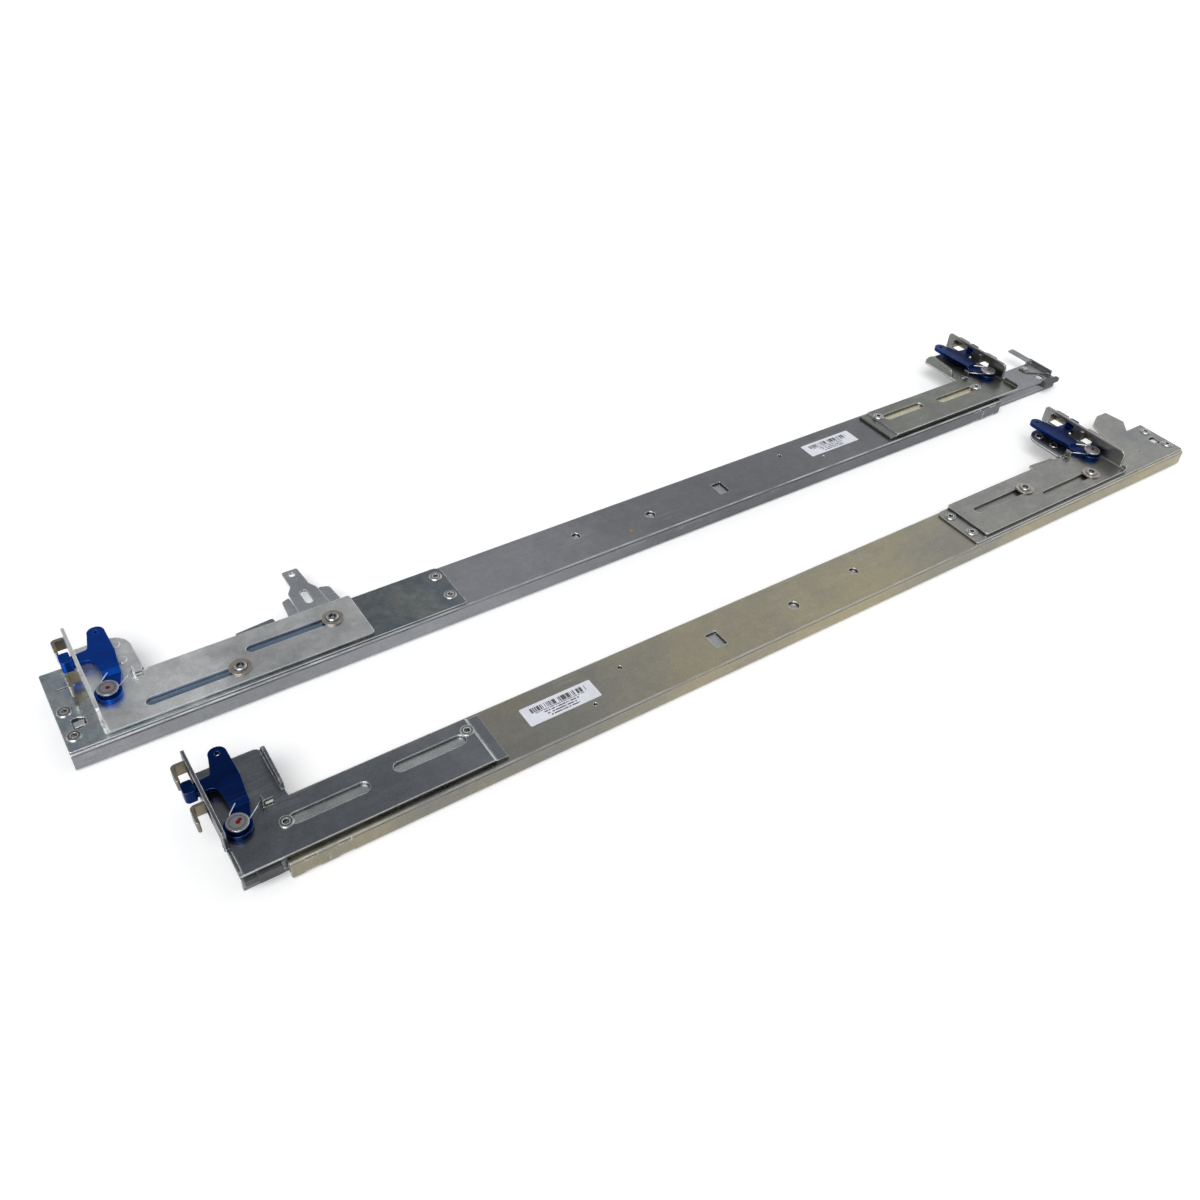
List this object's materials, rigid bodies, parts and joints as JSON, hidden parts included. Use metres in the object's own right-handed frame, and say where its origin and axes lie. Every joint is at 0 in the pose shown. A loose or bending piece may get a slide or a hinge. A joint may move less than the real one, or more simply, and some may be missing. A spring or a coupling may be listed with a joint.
{
  "type": "sliding server rail pair",
  "caption": "Telescopic ball-bearing slide rails for a rack server, lying rack side up, with hooked brackets, blue sprung latches and sliding rear brackets.",
  "frame": {"origin": "on the surface the pair lies on, under the middle of the pair's box", "axes": "+X along the rails towards the front of the left rail, +Y upwards in the rack, +Z towards the rack posts"},
  "size_m": [0.855, 0.221, 0.03],
  "materials": {
    "zinc_steel": "zinc plated, satin",
    "plate_steel": "zinc plated, clear passivated",
    "bright_steel": "bright",
    "blue_anodised": "blue anodised",
    "grey_plastic": "moulded",
    "white_label": "bare label"
  },
  "bodies": {
    "rails": {"left_outer_member": "zinc_steel", "left_guide_plate": "plate_steel", "left_guide_rivets": "bright_steel", "left_end_tongue": "bright_steel", "left_slot_studs": "bright_steel", "left_slot_washers": "bright_steel", "left_backing_plate": "zinc_steel", "left_front_bracket": "plate_steel", "left_front_rivets": "bright_steel", "left_front_latch_pivot": "bright_steel", "left_front_latch_spring": "bright_steel", "left_label": "white_label", "left_cable_bracket": "zinc_steel", "right_outer_member": "zinc_steel", "right_guide_plate": "plate_steel", "right_guide_rivets": "bright_steel", "right_end_tongue": "bright_steel", "right_slot_studs": "bright_steel", "right_slot_washers": "bright_steel", "right_backing_plate": "zinc_steel", "right_front_bracket": "plate_steel", "right_front_rivets": "bright_steel", "right_front_latch_pivot": "bright_steel", "right_front_latch_spring": "bright_steel", "right_label": "white_label"},
    "left_middle": {"left_middle_member": "zinc_steel"},
    "left_outer_race": {"left_outer_cages": "zinc_steel", "left_outer_balls": "bright_steel"},
    "left_inner": {"left_inner_member": "zinc_steel", "left_nose_bumper": "grey_plastic", "left_lever_rivet": "bright_steel"},
    "left_inner_race": {"left_inner_cages": "zinc_steel", "left_inner_balls": "bright_steel"},
    "left_rear_support": {"left_rear_bracket": "plate_steel", "left_rear_latch_pivot": "bright_steel", "left_rear_latch_spring": "bright_steel"},
    "left_front_catch": {"left_front_latch": "blue_anodised"},
    "left_rear_catch": {"left_rear_latch": "blue_anodised"},
    "left_release": {"left_release_lever": "plate_steel"},
    "right_middle": {"right_middle_member": "zinc_steel"},
    "right_outer_race": {"right_outer_cages": "zinc_steel", "right_outer_balls": "bright_steel"},
    "right_inner": {"right_inner_member": "zinc_steel", "right_nose_bumper": "grey_plastic", "right_lever_rivet": "bright_steel"},
    "right_inner_race": {"right_inner_cages": "zinc_steel", "right_inner_balls": "bright_steel"},
    "right_rear_support": {"right_rear_bracket": "plate_steel", "right_rear_latch_pivot": "bright_steel", "right_rear_latch_spring": "bright_steel"},
    "right_front_catch": {"right_front_latch": "blue_anodised"},
    "right_rear_catch": {"right_rear_latch": "blue_anodised"},
    "right_release": {"right_release_lever": "plate_steel"}
  },
  "joints": [
    {"name": "left_middle_slide", "type": "slide", "parent": "rails", "child": "left_middle", "axis": [1, 0, 0], "range_m": [0, 0.37]},
    {"name": "left_outer_race_slide", "type": "slide", "parent": "rails", "child": "left_outer_race", "axis": [1, 0, 0], "range_m": [0, 0.185]},
    {"name": "left_inner_slide", "type": "slide", "parent": "left_middle", "child": "left_inner", "axis": [1, 0, 0], "range_m": [-0.058, 0.312]},
    {"name": "left_inner_race_slide", "type": "slide", "parent": "left_middle", "child": "left_inner_race", "axis": [1, 0, 0], "range_m": [-0.029, 0.156]},
    {"name": "left_depth_slide", "type": "slide", "parent": "rails", "child": "left_rear_support", "axis": [1, 0, 0], "range_m": [0, 0.052]},
    {"name": "left_front_latch_swing", "type": "hinge", "parent": "rails", "child": "left_front_catch", "pos_m": [0.36, 0.0505, 0.0168], "axis": [0, 0, 1], "range_deg": [0, 16], "stiffness_Nm_per_rad": 0.03, "springref_deg": -20.05, "deforming": ["left_front_latch_spring"]},
    {"name": "left_rear_latch_swing", "type": "hinge", "parent": "left_rear_support", "child": "left_rear_catch", "pos_m": [-0.3965, 0.0505, 0.0169], "axis": [0, 0, -1], "range_deg": [0, 16], "stiffness_Nm_per_rad": 0.03, "springref_deg": -20.05, "deforming": ["left_rear_latch_spring"]},
    {"name": "left_release_swing", "type": "hinge", "parent": "left_inner", "child": "left_release", "pos_m": [0.4125, 0.0485, 0.0097], "axis": [0, 0, 1], "range_deg": [0, 6], "stiffness_Nm_per_rad": 0.02, "springref_deg": -11.46},
    {"name": "right_middle_slide", "type": "slide", "parent": "rails", "child": "right_middle", "axis": [-1, 0, 0], "range_m": [0, 0.37]},
    {"name": "right_outer_race_slide", "type": "slide", "parent": "rails", "child": "right_outer_race", "axis": [-1, 0, 0], "range_m": [0, 0.185]},
    {"name": "right_inner_slide", "type": "slide", "parent": "right_middle", "child": "right_inner", "axis": [-1, 0, 0], "range_m": [0, 0.37]},
    {"name": "right_inner_race_slide", "type": "slide", "parent": "right_middle", "child": "right_inner_race", "axis": [-1, 0, 0], "range_m": [0, 0.185]},
    {"name": "right_depth_slide", "type": "slide", "parent": "rails", "child": "right_rear_support", "axis": [1, 0, 0], "range_m": [0, 0.052]},
    {"name": "right_front_latch_swing", "type": "hinge", "parent": "rails", "child": "right_front_catch", "pos_m": [-0.367, -0.0785, 0.0168], "axis": [0, 0, -1], "range_deg": [0, 16], "stiffness_Nm_per_rad": 0.03, "springref_deg": -20.05, "deforming": ["right_front_latch_spring"]},
    {"name": "right_rear_latch_swing", "type": "hinge", "parent": "right_rear_support", "child": "right_rear_catch", "pos_m": [0.3375, -0.0785, 0.0169], "axis": [0, 0, 1], "range_deg": [0, 16], "stiffness_Nm_per_rad": 0.03, "springref_deg": -20.05, "deforming": ["right_rear_latch_spring"]},
    {"name": "right_release_swing", "type": "hinge", "parent": "right_inner", "child": "right_release", "pos_m": [-0.3615, -0.0805, 0.0097], "axis": [0, 0, -1], "range_deg": [0, 6], "stiffness_Nm_per_rad": 0.02, "springref_deg": -11.46}
  ],
  "couplings": [
    {"joint": "left_outer_race_slide", "follows": "left_middle_slide", "ratio": 0.5},
    {"joint": "left_inner_race_slide", "follows": "left_inner_slide", "ratio": 0.5},
    {"joint": "right_outer_race_slide", "follows": "right_middle_slide", "ratio": 0.5},
    {"joint": "right_inner_race_slide", "follows": "right_inner_slide", "ratio": 0.5}
  ]
}
